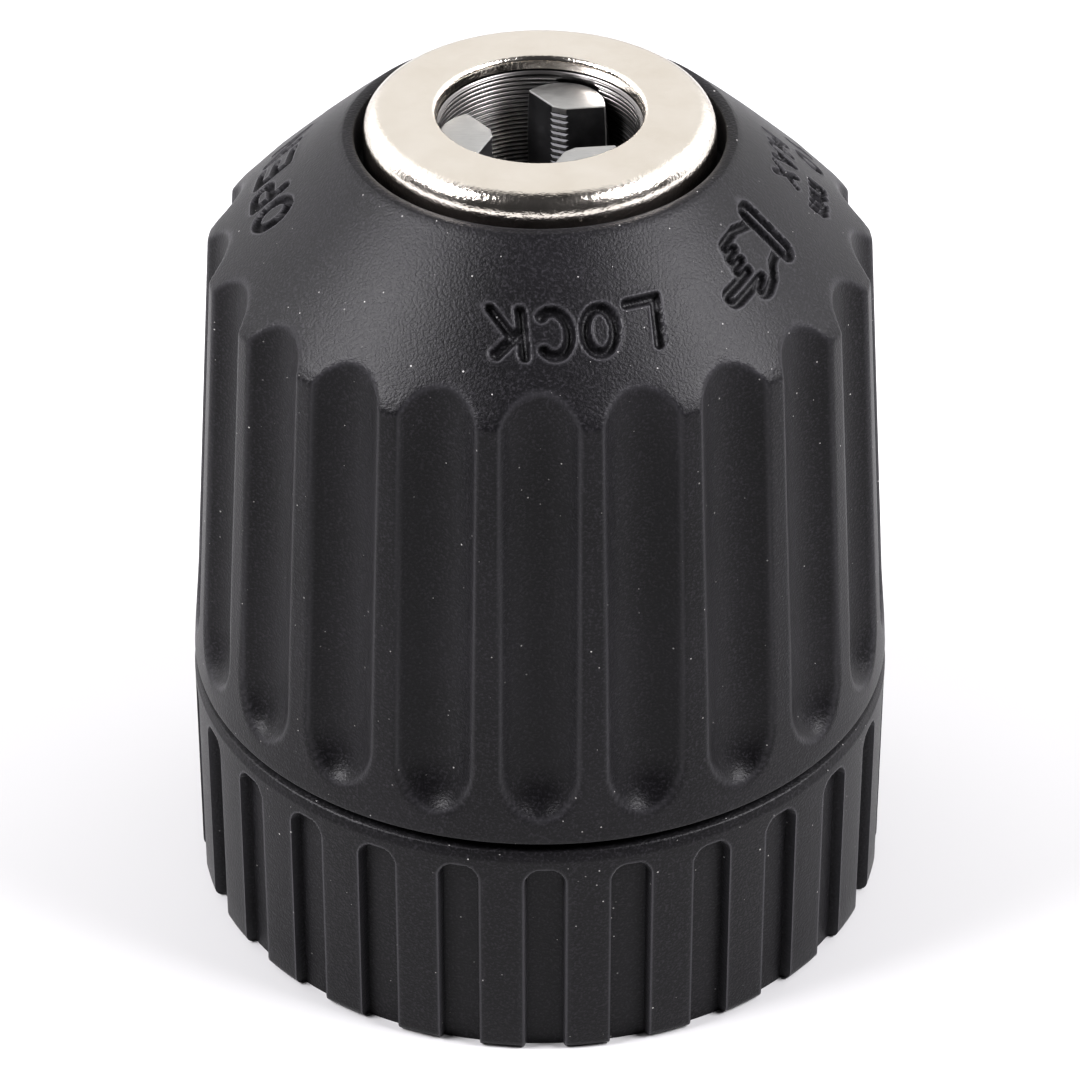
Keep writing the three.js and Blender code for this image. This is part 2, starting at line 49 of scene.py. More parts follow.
class Tree:  # short ways to add and join nodes
    def __init__(self, tree):
        self.tree = tree

    def add(self, kind, **values):
        node = self.tree.nodes.new(kind)
        for key, value in values.items():
            setattr(node, key, value)
        return node

    def join(self, out, into):
        self.tree.links.new(out, into)
        return into.node

    def math(self, how, a, b=None):
        node = self.add("ShaderNodeMath", operation=how)
        for i, value in enumerate((a, b)):
            if value is None:
                continue
            if isinstance(value, (int, float)):
                node.inputs[i].default_value = value
            else:
                self.join(value, node.inputs[i])
        return node.outputs[0]

    def noise(self, where, scale, detail=2.0, roughness=0.5):
        node = self.add("ShaderNodeTexNoise")
        self.join(where, node.inputs["Vector"])
        if isinstance(scale, (int, float)):
            node.inputs["Scale"].default_value = scale
        else:
            self.join(scale, node.inputs["Scale"])
        node.inputs["Detail"].default_value = detail
        node.inputs["Roughness"].default_value = roughness
        return node.outputs["Fac"]

    def spread(self, value, low, high, outLow=0.0, outHigh=1.0):
        node = self.add("ShaderNodeMapRange", clamp=True)
        self.join(value, node.inputs["Value"])
        for label, number in (("From Min", low), ("From Max", high), ("To Min", outLow), ("To Max", outHigh)):
            if isinstance(number, (int, float)):
                node.inputs[label].default_value = number
            else:
                self.join(number, node.inputs[label])
        return node.outputs["Result"]

    def blend(self, amount, first, second):
        node = self.add("ShaderNodeMix", data_type="RGBA")
        for value, socket in ((amount, node.inputs[0]), (first, node.inputs[6]), (second, node.inputs[7])):
            if isinstance(value, (int, float, tuple)):
                socket.default_value = value
            else:
                self.join(value, socket)
        return node.outputs[2]


view = {
    "place": (0, -0.218619, 0.172188),
    "tilt": 55.78,  # degrees from looking straight down
    "lens": 163.37,
    "shift": -0.04925,
    "sensor": 36,
    "clip": (0.01, 20),
}
lamps = [
    # name, place, size across and up, power, colour
    ("leftSoftbox", (-0.424, -0.113, 0.437), (0.26, 0.26), 5.2, (0.985, 0.97, 1.0)),
    ("rightSoftbox", (0.424, -0.113, 0.437), (0.26, 0.26), 5.2, (0.985, 0.97, 1.0)),
]
room = {
    "backWall": (0.80, 0.79, 0.78, 1),
    "sideWalls": (2.2, 2.18, 2.22, 1),
    "dark": (0.04, 0.04, 0.042, 1),
    "sideFrom": 0.35, "sideTo": 0.75, "frontFrom": 0.0, "frontTo": 0.3,
    "floorSize": 6.0, "floorColor": (0.56, 0.56, 0.56, 1), "floorRoughness": 0.9,
    "lampsAimAt": (0, 0, 0.028),
}


def buildCamera():
    data = bpy.data.cameras.new("camera")
    data.sensor_width = view["sensor"]
    data.lens = view["lens"]
    data.shift_y = view["shift"]
    data.clip_start, data.clip_end = view["clip"]
    camera = bpy.data.objects.new("camera", data)
    camera.location = view["place"]
    camera.rotation_euler = (math.radians(view["tilt"]), 0, 0)
    bpy.context.scene.collection.objects.link(camera)
    bpy.context.scene.camera = camera


def buildLights():
    aim = Vector(room["lampsAimAt"])
    for name, place, size, power, color in lamps:
        data = bpy.data.lights.new(name, "AREA")
        data.shape = "RECTANGLE"
        data.size, data.size_y = size
        data.energy = power
        data.color = color
        lamp = bpy.data.objects.new(name, data)
        lamp.location = place
        lamp.rotation_euler = (aim - Vector(place)).to_track_quat("-Z", "Y").to_euler()
        bpy.context.scene.collection.objects.link(lamp)
    world = bpy.data.worlds.new("studio")
    world.use_nodes = True
    sky = world.node_tree.nodes["Background"]
    # pale walls behind and beside the object, a dark room behind the camera
    tree = Tree(world.node_tree)
    parts = tree.add("ShaderNodeSeparateXYZ")
    tree.join(tree.add("ShaderNodeTexCoord").outputs["Generated"], parts.inputs[0])
    aside = tree.spread(tree.math("ABSOLUTE", parts.outputs["X"]), room["sideFrom"], room["sideTo"])
    behind = tree.spread(parts.outputs["Y"], room["frontFrom"], room["frontTo"])
    walls = tree.blend(aside, room["backWall"], room["sideWalls"])
    tree.join(tree.blend(behind, room["dark"], walls), sky.inputs["Color"])
    bpy.context.scene.world = world
    bpy.context.scene.view_settings.view_transform = "Standard"
    bpy.context.scene.view_settings.look = "Medium High Contrast"


def buildFloor():
    bm = bmesh.new()
    bmesh.ops.create_grid(bm, x_segments=1, y_segments=1, size=room["floorSize"] / 2)
    mesh = bpy.data.meshes.new("floor")
    bm.to_mesh(mesh)
    bm.free()
    floor = bpy.data.objects.new("floor", mesh)
    material = bpy.data.materials.new("palePaper")
    material.use_nodes = True
    paper = material.node_tree.nodes["Principled BSDF"]
    paper.inputs["Base Color"].default_value = room["floorColor"]
    paper.inputs["Roughness"].default_value = room["floorRoughness"]
    mesh.materials.append(material)
    bpy.context.scene.collection.objects.link(floor)


buildCamera()
buildLights()
buildFloor()
print("camera, lights and floor placed")


def newGroup(name, inputs, outputs):  # every socket of these groups is a plain number
    group = bpy.data.node_groups.new(name, "ShaderNodeTree")
    for label, value in inputs:
        socket = group.interface.new_socket(label, in_out="INPUT", socket_type="NodeSocketFloat")
        socket.default_value = value
    for label in outputs:
        group.interface.new_socket(label, in_out="OUTPUT", socket_type="NodeSocketFloat")
    tree = Tree(group)
    return group, tree, tree.add("NodeGroupInput"), tree.add("NodeGroupOutput")


grain = {
    "detail": 2.0, "fineRoughness": 0.6, "waveRoughness": 0.5,
    "patches": (0.35, 0.65), "peaks": (0.5, 0.72),  # noise values where these masks start and end
}


def grainGroup():  # fine even pits of a spark-eroded mould, with a slow waviness under them
    group, tree, given, result = newGroup(
        "mouldGrain",
        [("Grain Scale", 7000.0), ("Wave Scale", 160.0), ("Waviness", 0.4)],
        ["Height", "Patches", "Peaks"],
    )
    where = tree.add("ShaderNodeTexCoord").outputs["Object"]
    fine = tree.noise(where, given.outputs["Grain Scale"], grain["detail"], grain["fineRoughness"])
    wave = tree.noise(where, given.outputs["Wave Scale"], grain["detail"], grain["waveRoughness"])
    waved = tree.math("MULTIPLY", wave, given.outputs["Waviness"])
    tree.join(tree.math("ADD", fine, waved), result.inputs["Height"])
    tree.join(tree.spread(wave, *grain["patches"]), result.inputs["Patches"])
    tree.join(tree.spread(fine, *grain["peaks"]), result.inputs["Peaks"])
    return group


dust = {"smallest": 0.4, "faintest": 0.2}  # share of the size and of the brightness that every speck has


def dustGroup():  # sparse specks: a few cells of a cell pattern hold one each
    group, tree, given, result = newGroup(
        "dustSpecks",
        [("Cell Scale", 1400.0), ("Share", 0.8), ("Size", 0.055)],
        ["Mask"],
    )
    where = tree.add("ShaderNodeTexCoord").outputs["Object"]
    cells = tree.add("ShaderNodeTexVoronoi", feature="F1")
    tree.join(where, cells.inputs["Vector"])
    tree.join(given.outputs["Cell Scale"], cells.inputs["Scale"])
    parts = tree.add("ShaderNodeSeparateColor")
    tree.join(cells.outputs["Color"], parts.inputs[0])
    chosen = tree.math("LESS_THAN", parts.outputs[0], given.outputs["Share"])
    share = tree.math("ADD", parts.outputs[1], dust["smallest"])
    ownSize = tree.math("MULTIPLY", given.outputs["Size"], share)
    near = tree.math("LESS_THAN", cells.outputs["Distance"], ownSize)
    spare = 1 - dust["faintest"]
    faint = tree.math("ADD", tree.math("MULTIPLY", parts.outputs[2], spare), dust["faintest"])
    tree.join(tree.math("MULTIPLY", tree.math("MULTIPLY", chosen, near), faint), result.inputs["Mask"])
    return group


rings = {"wanderScale": 900.0, "streakPitch": 0.7, "streakDetail": 3.0, "streakRoughness": 0.7}


def turnedGroup():  # rings left by a lathe tool, round Z, broken up by a little noise
    group, tree, given, result = newGroup(
        "latheRings",
        [("Pitch", 0.00025), ("Wander", 0.3)],
        ["Height", "Streaks"],
    )
    where = tree.add("ShaderNodeTexCoord").outputs["Object"]
    parts = tree.add("ShaderNodeSeparateXYZ")
    tree.join(where, parts.inputs[0])
    flat = tree.add("ShaderNodeVectorMath", operation="MULTIPLY")
    tree.join(where, flat.inputs[0])
    flat.inputs[1].default_value = (1, 1, 0)
    length = tree.add("ShaderNodeVectorMath", operation="LENGTH")
    tree.join(flat.outputs[0], length.inputs[0])
    along = tree.math("ADD", parts.outputs[2], length.outputs["Value"])
    turn = tree.math("DIVIDE", along, given.outputs["Pitch"])
    wobble = tree.math("MULTIPLY", tree.noise(where, rings["wanderScale"]), given.outputs["Wander"])
    wave = tree.math("SINE", tree.math("MULTIPLY", tree.math("ADD", turn, wobble), 2 * math.pi))
    tree.join(wave, result.inputs["Height"])
    ringPlace = tree.add("ShaderNodeCombineXYZ")
    tree.join(tree.math("MULTIPLY", turn, rings["streakPitch"]), ringPlace.inputs[2])
    streaks = tree.noise(ringPlace.outputs[0], 1.0, rings["streakDetail"], rings["streakRoughness"])
    tree.join(streaks, result.inputs["Streaks"])
    return group


groups = {"grain": grainGroup(), "dust": dustGroup(), "rings": turnedGroup()}


def newMaterial(name, **fixed):
    material = bpy.data.materials.new(name)
    material.use_nodes = True
    tree = Tree(material.node_tree)
    shader = material.node_tree.nodes["Principled BSDF"]
    for label, value in fixed.items():
        shader.inputs[label.replace("_", " ")].default_value = value
    return material, tree, shader


def addGroup(tree, key, **values):
    node = tree.add("ShaderNodeGroup")
    node.node_tree = groups[key]
    for label, value in values.items():
        node.inputs[label.replace("_", " ")].default_value = value
    return node


def addBump(tree, shader, height, strength, distance, under=None):
    bump = tree.add("ShaderNodeBump")
    bump.inputs["Strength"].default_value = strength
    bump.inputs["Distance"].default_value = distance
    tree.join(height, bump.inputs["Height"])
    if under is not None:
        tree.join(under, bump.inputs["Normal"])
    tree.join(bump.outputs[0], shader.inputs["Normal"])
    return bump.outputs[0]


plastic = {
    "color": (0.0050, 0.0048, 0.0056, 1),
    "paler": (0.0078, 0.0074, 0.0087, 1),
    "speckle": (0.034, 0.032, 0.037, 1),
    # the next colour is a painted highlight, laid along the flute and groove edges and round the engraved
    # marks
    "paintedHighlight": (0.085, 0.083, 0.09, 1),
    "dust": (0.42, 0.41, 0.4, 1),
    "grainScale": 7000.0, "waveScale": 160.0, "waviness": 0.4,
    "dustScale": 1400.0, "dustShare": 0.8, "dustSize": 0.055,
    "speckled": 0.6, "paintedHighlightMix": 0.6,  # strongest mix of these two colours
    "grainDepth": 0.00005, "grainStrength": 0.6, "grainHeights": (0.3, 1.0),
    "roughness": (0.32, 0.48),
    "specular": 0.2, "sheen": 0.06, "sheenRoughness": 0.4,
}


def mouldedPlastic(name, paleness):
    material, tree, shader = newMaterial(
        name, Specular_IOR_Level=plastic["specular"], Sheen_Weight=plastic["sheen"],
        Sheen_Roughness=plastic["sheenRoughness"],
    )
    pits = addGroup(
        tree, "grain", Grain_Scale=plastic["grainScale"], Wave_Scale=plastic["waveScale"],
        Waviness=plastic["waviness"],
    )
    specks = addGroup(
        tree, "dust", Cell_Scale=plastic["dustScale"], Share=plastic["dustShare"], Size=plastic["dustSize"],
    )
    highlightPaint = tree.add("ShaderNodeAttribute", attribute_name="highlightPaint").outputs["Fac"]
    patchy = tree.math("MULTIPLY", pits.outputs["Patches"], paleness)
    color = tree.blend(patchy, plastic["color"], plastic["paler"])
    peaks = tree.math("MULTIPLY", pits.outputs["Peaks"], plastic["speckled"])
    color = tree.blend(peaks, color, plastic["speckle"])
    # painted highlight: the paler colour goes where the edge attribute says light catches an edge
    paintedHighlight = tree.math("MULTIPLY", highlightPaint, plastic["paintedHighlightMix"])
    color = tree.blend(paintedHighlight, color, plastic["paintedHighlight"])
    tree.join(tree.blend(specks.outputs["Mask"], color, plastic["dust"]), shader.inputs["Base Color"])
    dull = tree.spread(pits.outputs["Height"], *plastic["grainHeights"], *plastic["roughness"])
    tree.join(dull, shader.inputs["Roughness"])
    addBump(tree, shader, pits.outputs["Height"], plastic["grainStrength"], plastic["grainDepth"])
    return material


nickel = {
    "warm": (0.80, 0.735, 0.645, 1), "bright": (0.93, 0.88, 0.815, 1),
    "cloudScale": 420.0, "roughness": (0.1, 0.22),
    "pitScale": 5200.0, "pitDepth": 0.000026, "rippleScale": 900.0, "rippleDepth": 0.00004,
}
noiseMiddle = (0.3, 0.7)  # the part of a noise that most of its surface has


def nickelPlate():
    material, tree, shader = newMaterial("nickelPlate", Metallic=1.0)
    where = tree.add("ShaderNodeTexCoord").outputs["Object"]
    cloud = tree.noise(where, nickel["cloudScale"], 4.0, 0.6)
    tree.join(tree.blend(cloud, nickel["warm"], nickel["bright"]), shader.inputs["Base Color"])
    tree.join(tree.spread(cloud, *noiseMiddle, *nickel["roughness"]), shader.inputs["Roughness"])
    pits = tree.noise(where, nickel["pitScale"], 2.0, 0.6)
    ripples = tree.noise(where, nickel["rippleScale"], 2.0, 0.5)
    slow = addBump(tree, shader, ripples, 0.6, nickel["rippleDepth"])
    addBump(tree, shader, pits, 1.0, nickel["pitDepth"], slow)
    return material


turned = {
    # ridge is a painted highlight colour for the bore's ridges
    "dark": (0.085, 0.082, 0.08, 1), "pale": (0.26, 0.25, 0.245, 1), "ridge": (0.66, 0.65, 0.64, 1),
    "roughness": (0.24, 0.4), "ringPitch": 0.00025, "ringWander": 0.3, "ringDepth": 0.00001,
    "ridgeFrom": 0.45,  # how much painted highlight a point carries before the pale ridge colour starts
}


def turnedSteel():
    material, tree, shader = newMaterial("turnedSteel", Metallic=1.0)
    cuts = addGroup(tree, "rings", Pitch=turned["ringPitch"], Wander=turned["ringWander"])
    highlightPaint = tree.add("ShaderNodeAttribute", attribute_name="highlightPaint").outputs["Fac"]
    # painted highlight: the bore's ridges get a pale colour for the light they catch
    shiny = tree.spread(highlightPaint, turned["ridgeFrom"], 1.0)
    streaked = tree.blend(cuts.outputs["Streaks"], turned["dark"], turned["pale"])
    tree.join(tree.blend(shiny, streaked, turned["ridge"]), shader.inputs["Base Color"])
    dull = tree.spread(cuts.outputs["Streaks"], *noiseMiddle, *turned["roughness"])
    tree.join(dull, shader.inputs["Roughness"])
    addBump(tree, shader, cuts.outputs["Height"], 0.4, turned["ringDepth"])
    return material


ground = {
    "dark": (0.40, 0.40, 0.40, 1), "pale": (0.62, 0.62, 0.61, 1),
    "lineScale": 1600.0, "lineStretch": (1, 6, 1), "lineDepth": 0.00001, "roughness": (0.3, 0.45),
}


def groundSteel():
    material, tree, shader = newMaterial("groundSteel", Metallic=1.0)
    stretch = tree.add("ShaderNodeMapping")
    tree.join(tree.add("ShaderNodeTexCoord").outputs["Object"], stretch.inputs["Vector"])
    stretch.inputs["Scale"].default_value = ground["lineStretch"]
    lines = tree.noise(stretch.outputs[0], ground["lineScale"], 3.0, 0.7)
    tree.join(tree.blend(lines, ground["dark"], ground["pale"]), shader.inputs["Base Color"])
    tree.join(tree.spread(lines, *noiseMiddle, *ground["roughness"]), shader.inputs["Roughness"])
    addBump(tree, shader, lines, 0.3, ground["lineDepth"])
    return material


oxide = {
    "dark": (0.035, 0.035, 0.038, 1), "pale": (0.11, 0.11, 0.112, 1),
    "mottleScale": 1100.0, "mottleDepth": 0.00002, "roughness": (0.32, 0.5), "metallic": 0.85,
}


def blackOxide():
    material, tree, shader = newMaterial("blackOxide", Metallic=oxide["metallic"])
    mottle = tree.noise(tree.add("ShaderNodeTexCoord").outputs["Object"], oxide["mottleScale"], 4.0, 0.6)
    tree.join(tree.blend(mottle, oxide["dark"], oxide["pale"]), shader.inputs["Base Color"])
    tree.join(tree.spread(mottle, *noiseMiddle, *oxide["roughness"]), shader.inputs["Roughness"])
    addBump(tree, shader, mottle, 0.3, oxide["mottleDepth"])
    return material


finishes = {
    "frontPlastic": mouldedPlastic("frontPlastic", paleness=1.0),
    "rearPlastic": mouldedPlastic("rearPlastic", paleness=0.6),
    "nickel": nickelPlate(),
    "turned": turnedSteel(),
    "ground": groundSteel(),
    "oxide": blackOxide(),
}
print("materials made:", len(finishes))


chamferBelow = 0.13  # a smaller corner radius gets one flat instead of a curve


def softened(corners, roundSteps=4):  # corners are (radius, height, corner radius) in mm
    points = []
    for i, (radius, height, soft) in enumerate(corners):
        here = Vector((radius, height))
        if soft <= 0:
            points.append(here)
            continue
        before = (Vector(corners[i - 1][:2]) - here).normalized()
        after = (Vector(corners[(i + 1) % len(corners)][:2]) - here).normalized()
        half = before.angle(after) / 2
        centre = here + (before + after).normalized() * (soft / math.sin(half))
        start = here + before * (soft / math.tan(half)) - centre
        end = here + after * (soft / math.tan(half)) - centre
        swing = start.angle_signed(end)
        steps = 1 if soft < chamferBelow else roundSteps
        for k in range(steps + 1):
            points.append(centre + Matrix.Rotation(-swing * k / steps, 2) @ start)
    return points


def cutAt(points, heights):  # puts points at some heights of the long step up the outside
    result = []
    for here, after in zip(points, points[1:] + points[:1]):
        result.append(here)
        if min(here.x, after.x) > 16 and after.y - here.y > 5:
            between = [z for z in heights if here.y < z < after.y]
            result += [here.lerp(after, (z - here.y) / (after.y - here.y)) for z in between]
    return result


def divided(points, spacingAt):  # adds points so that no step is longer than spacingAt says
    result = []
    for here, after in zip(points, points[1:] + points[:1]):
        result.append(here)
        count = int((after - here).length / spacingAt((here + after) / 2) - 0.001)
        result += [here.lerp(after, (k + 1) / (count + 1)) for k in range(count)]
    return result


def spun(points, sectors, columns):  # turns a closed outline about Z, one sector first and then its copies
    bm = bmesh.new()
    verts = [bm.verts.new((p.x * mm, 0, p.y * mm)) for p in points]
    edges = [bm.edges.new(pair) for pair in zip(verts, verts[1:] + verts[:1])]
    bmesh.ops.spin(
        bm, geom=verts + edges, cent=(0, 0, 0), axis=(0, 0, 1), dvec=(0, 0, 0),
        angle=2 * math.pi / sectors, steps=columns, use_merge=False, use_duplicate=False,
    )
    sector = bm.verts[:] + bm.edges[:] + bm.faces[:]
    for k in range(1, sectors):
        copy = bmesh.ops.duplicate(bm, geom=sector)["geom"]
        turn = Matrix.Rotation(2 * math.pi * k / sectors, 3, "Z")
        moved = [g for g in copy if isinstance(g, bmesh.types.BMVert)]
        bmesh.ops.rotate(bm, cent=(0, 0, 0), matrix=turn, verts=moved)
    bmesh.ops.remove_doubles(bm, verts=bm.verts, dist=1e-7)
    bmesh.ops.recalc_face_normals(bm, faces=bm.faces)
    return bm


def placesOf(bm):  # radius, azimuth and height of each vertex, in mm and radians
    co = np.array([v.co for v in bm.verts]) / mm
    return np.hypot(co[:, 0], co[:, 1]), np.arctan2(co[:, 1], co[:, 0]), co[:, 2]


def movePlaces(bm, radius, azimuth, height):
    for v, r, a, z in zip(bm.verts, radius * mm, azimuth, height * mm):
        v.co = (r * math.cos(a), r * math.sin(a), z)


def addAttribute(bm, name, values):
    layer = bm.verts.layers.float.new(name)
    for v, value in zip(bm.verts, values):
        v[layer] = value


def finishPiece(name, bm, materials, body, nodes, sharp=38):
    mesh = bpy.data.meshes.new(name)
    bm.to_mesh(mesh)
    bm.free()
    for key in materials:
        mesh.materials.append(finishes[key])
    mesh.shade_smooth()
    mesh.set_sharp_from_angle(angle=math.radians(sharp))
    piece = bpy.data.objects.new(name, mesh)
    bpy.context.scene.collection.objects.link(piece)
    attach(piece, body)
    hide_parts(*nodes)
    print(name, "made:", len(mesh.polygons), "faces")
    return piece


marks = {
    # the raised lip round each mark also carries a painted highlight, of this share
    "strokeWidth": 0.6, "depth": 0.42, "lip": 0.025, "lipWidth": 0.13, "paintedLipHighlight": 0.7,
    "letter": (1.6, 2.35), "pitch": 2.3, "smallLetter": (1.1, 1.6), "smallPitch": 1.6,
    "coneFrom": 40.2, "coneInside": 10.3,  # lowest height and smallest radius of the part that carries them
    "margin": 0.5, "cutsUp": 4, "cutsRound": 1,
}


def arc(cx, cy, rx, ry, start, end, steps=10):  # points of part of an ellipse, angles in degrees
    angles = [math.radians(start + (end - start) * i / steps) for i in range(steps + 1)]
    return [(cx + rx * math.cos(a), cy + ry * math.sin(a)) for a in angles]


letters = {  # strokes in a box one wide and one high, its middle at the origin
    "L": [[(-0.45, 0.5), (-0.45, -0.5), (0.5, -0.5)]],
    "O": [arc(0, 0, 0.48, 0.5, 0, 360, 24)],
    "0": [arc(0, 0, 0.42, 0.5, 0, 360, 24)],
    "C": [arc(0.02, 0, 0.5, 0.5, 48, 312, 18)],
    "K": [[(-0.45, 0.5), (-0.45, -0.5)], [(0.45, 0.5), (-0.45, -0.08)], [(-0.15, 0.11), (0.48, -0.5)]],
    "P": [[(-0.45, -0.5), (-0.45, 0.5), (0.1, 0.5)] + arc(0.14, 0.24, 0.34, 0.26, 90, -90, 8)
          + [(-0.45, -0.02)]],
    "E": [[(0.45, 0.5), (-0.42, 0.5), (-0.42, -0.5), (0.45, -0.5)], [(-0.42, 0.02), (0.3, 0.02)]],
    "N": [[(-0.45, -0.5), (-0.45, 0.5), (0.45, -0.5), (0.45, 0.5)]],
    "1": [[(-0.22, 0.26), (0.05, 0.5), (0.05, -0.5)]],
    "m": [[(-0.5, -0.5), (-0.5, 0.15)], [(-0.5, 0.0), (-0.25, 0.15), (0, 0.0), (0, -0.5)],
          [(0, 0.0), (0.25, 0.15), (0.5, 0.0), (0.5, -0.5)]],
    "M": [[(-0.5, -0.5), (-0.5, 0.5), (0, -0.15), (0.5, 0.5), (0.5, -0.5)]],
    "A": [[(-0.5, -0.5), (0, 0.5), (0.5, -0.5)], [(-0.3, -0.15), (0.3, -0.15)]],
    "X": [[(-0.45, 0.5), (0.45, -0.5)], [(-0.45, -0.5), (0.45, 0.5)]],
    " ": [],
}
pointingHand = [  # in mm, the finger towards +u and the thumb towards +v
    [(-2.2, -1.55), (-2.2, 1.45)] + arc(-2.55, 1.45, 0.35, 0.35, 0, 180, 6)
    + [(-2.9, -1.55)] + arc(-2.55, -1.55, 0.35, 0.35, 180, 360, 6),
    [(-2.2, 0.95), (-1.2, 1.05), (-0.5, 1.55), (0.35, 1.75)] + arc(0.5, 1.45, 0.3, 0.3, 90, -40, 5)
    + [(0.0, 0.98), (0.4, 0.92), (2.3, 0.92)] + arc(2.35, 0.57, 0.35, 0.35, 90, -90, 8) + [(0.35, 0.22)],
    [(0.35, 0.22)] + arc(0.72, -0.1, 0.32, 0.32, 90, -90, 6) + [(0.2, -0.42)],
    [(0.2, -0.42)] + arc(0.5, -0.74, 0.32, 0.32, 90, -90, 6) + [(0.0, -1.06)],
    [(0.0, -1.06)] + arc(0.2, -1.36, 0.3, 0.3, 90, -90, 6) + [(-0.9, -1.66), (-2.2, -1.05)],
]


def wordStrokes(text, size, pitch):
    strokes = []
    for i, letter in enumerate(text):
        middle = (i - (len(text) - 1) / 2) * pitch
        for stroke in letters[letter]:
            strokes.append([(middle + x * size[0], y * size[1]) for x, y in stroke])
    return strokes


def turnedStrokes(strokes, degrees, flip=1):
    turn = Matrix.Rotation(math.radians(degrees), 2)
    return [[tuple(turn @ Vector((x * flip, y))) for x, y in stroke] for stroke in strokes]


# azimuth from the front towards the right in degrees, radius on the cone, stroke scale, strokes
engravings = [
    (7.6, 13.97, 1.0, wordStrokes("LOCK", marks["letter"], marks["pitch"])),
    (52.0, 13.35, 0.9, turnedStrokes(pointingHand, 14)),
    (-94.0, 13.97, 1.0, wordStrokes("OPEN", marks["letter"], marks["pitch"])),
    (-138.0, 13.35, 0.9, turnedStrokes(pointingHand, -14, -1)),
    (99.0, 14.65, 0.72, wordStrokes("10 mm", marks["smallLetter"], marks["smallPitch"])),
    (95.0, 12.7, 0.72, wordStrokes("MAX", marks["smallLetter"], marks["smallPitch"])),
]


def strokeDistance(u, v, strokes):  # distance from each point to the nearest stroke
    nearest = np.full(u.shape, 99.0)
    for stroke in strokes:
        for (ax, ay), (bx, by) in zip(stroke, stroke[1:]):
            dx, dy = bx - ax, by - ay
            share = np.clip(((u - ax) * dx + (v - ay) * dy) / (dx * dx + dy * dy + 1e-9), 0, 1)
            nearest = np.minimum(nearest, np.hypot(u - ax - share * dx, v - ay - share * dy))
    return nearest


def markPlace(radius, azimuth, mark):  # flat coordinates of points of the cone on one mark
    fromFront, markRadius = mark[0], mark[1]
    swing = azimuth + math.pi / 2 - math.radians(fromFront)
    swing = (swing + math.pi) % (2 * math.pi) - math.pi
    return -swing * radius, (radius - markRadius) * math.sqrt(2)


frontSleeve = {
    "flutes": 21, "columnsPerFlute": 27,
    "seamRadius": 18.98, "seamHeight": 13.65, "draft": 0.0615,
    "cutterRadius": 2.5, "fluteDepth": 1.17, "fluteEnd": 18.36, "endStretch": 1.35, "edge": 0.13,
    "columnShares": (0, 0.5, 0.94, 1), "columnDegrees": (0, 5.3, 7.7),
    "wallOutside": 15.99, "rimReach": 0.35, "rimTop": 19.0, "rimSmoothing": 4,
    # strength and width of the painted highlight along the flute edges
    "paintedHighlight": 0.4, "paintedHighlightWidth": 0.16, "sharp": 75,
    "bottom": 13.84, "stepsChangeAt": (15.2, 17.6, 18.6, 37.2),
}
frontSteps = {  # longest steps of the outline, in mm
    "hidden": 30.0, "fluteEnd": 0.11, "lowSide": 0.3, "flute": 2.6, "fluteTop": 0.16, "shoulder": 0.13,
    "cone": 0.4,
}


def sideRadius(z):
    return frontSleeve["seamRadius"] - frontSleeve["draft"] * (z - frontSleeve["seamHeight"])


def frontOutline():
    low = frontSleeve["bottom"]
    corners = [
        (15.96, low, 0.1),
        (sideRadius(low), low, 0.22),
        (sideRadius(38.6), 38.6, 0.6),
        (17.05, 39.1, 0),
        (16.17, 40.0, 0),
        (14.63, 41.5, 0),
        (13.1, 42.97, 0),
        (11.65, 44.3, 0),
        (10.17, 45.6, 0.12),
        (9.57, 45.6, 0.1),
        (9.57, 43.2, 0),
        (8.37, 43.2, 0.1),
        (8.37, 41.7, 0.1),
        (9.57, 41.7, 0),
        (13.47, 39.5, 0),
        (13.47, 32.66, 0),
        (15.28, 32.66, 0),
        (15.28, 16.5, 0),
        (15.96, 15.85, 0),
    ]
    endLow, endHigh, lowTop, fluteTop = frontSleeve["stepsChangeAt"]

    def spacing(p):
        if p.x < 9.6 or (p.y < 39.3 and p.x < 16.5) or p.y < 14.0:
            return frontSteps["hidden"]
        if p.x <= sideRadius(p.y) - 0.6 or p.y >= 38.2:
            return frontSteps["shoulder" if p.x > 16.0 else "cone"]
        if endLow < p.y < endHigh:
            return frontSteps["fluteEnd"]
        if p.y < lowTop:
            return frontSteps["lowSide"]
        return frontSteps["flute" if p.y < fluteTop else "fluteTop"]

    return divided(cutAt(softened(corners), frontSleeve["stepsChangeAt"]), spacing)


def shiftColumns(azimuth, count, centre, piece):  # crowds the columns near the edges of a repeat
    pitch = 2 * math.pi / count
    offset = (azimuth - centre + pitch / 2) % pitch - pitch / 2
    half = np.abs(offset) / (pitch / 2)
    degrees = (*piece["columnDegrees"], 180 / count)
    moved = np.radians(np.interp(half, piece["columnShares"], degrees)) * np.sign(offset)
    return azimuth - offset + moved, moved


